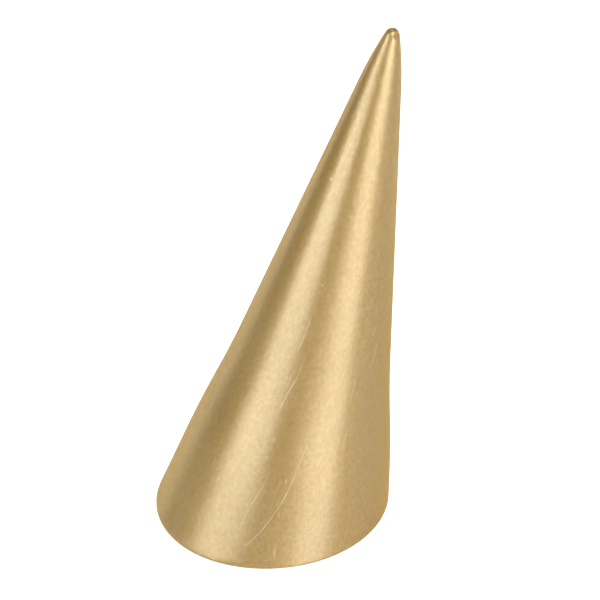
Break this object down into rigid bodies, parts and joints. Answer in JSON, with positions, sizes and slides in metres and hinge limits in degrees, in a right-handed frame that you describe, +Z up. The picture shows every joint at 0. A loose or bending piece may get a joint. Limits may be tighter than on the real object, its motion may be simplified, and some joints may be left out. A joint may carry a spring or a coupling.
{
  "type": "ring display stand",
  "caption": "Leaning round cone with a rounded tip, a slightly wider foot and a flat underside, in satin gold, that holds finger rings for display.",
  "frame": {"origin": "centre of the foot's outline, in the plane of the flat underside", "axes": "+Z up from the underside, +X the way the cone leans, +Y completes the right-hand set, so the XZ plane is the mirror plane"},
  "size_m": [0.0338, 0.0296, 0.0703],
  "materials": {
    "gold_coat": "satin"
  },
  "bodies": {
    "root": {"cone": "gold_coat"}
  },
  "joints": []
}
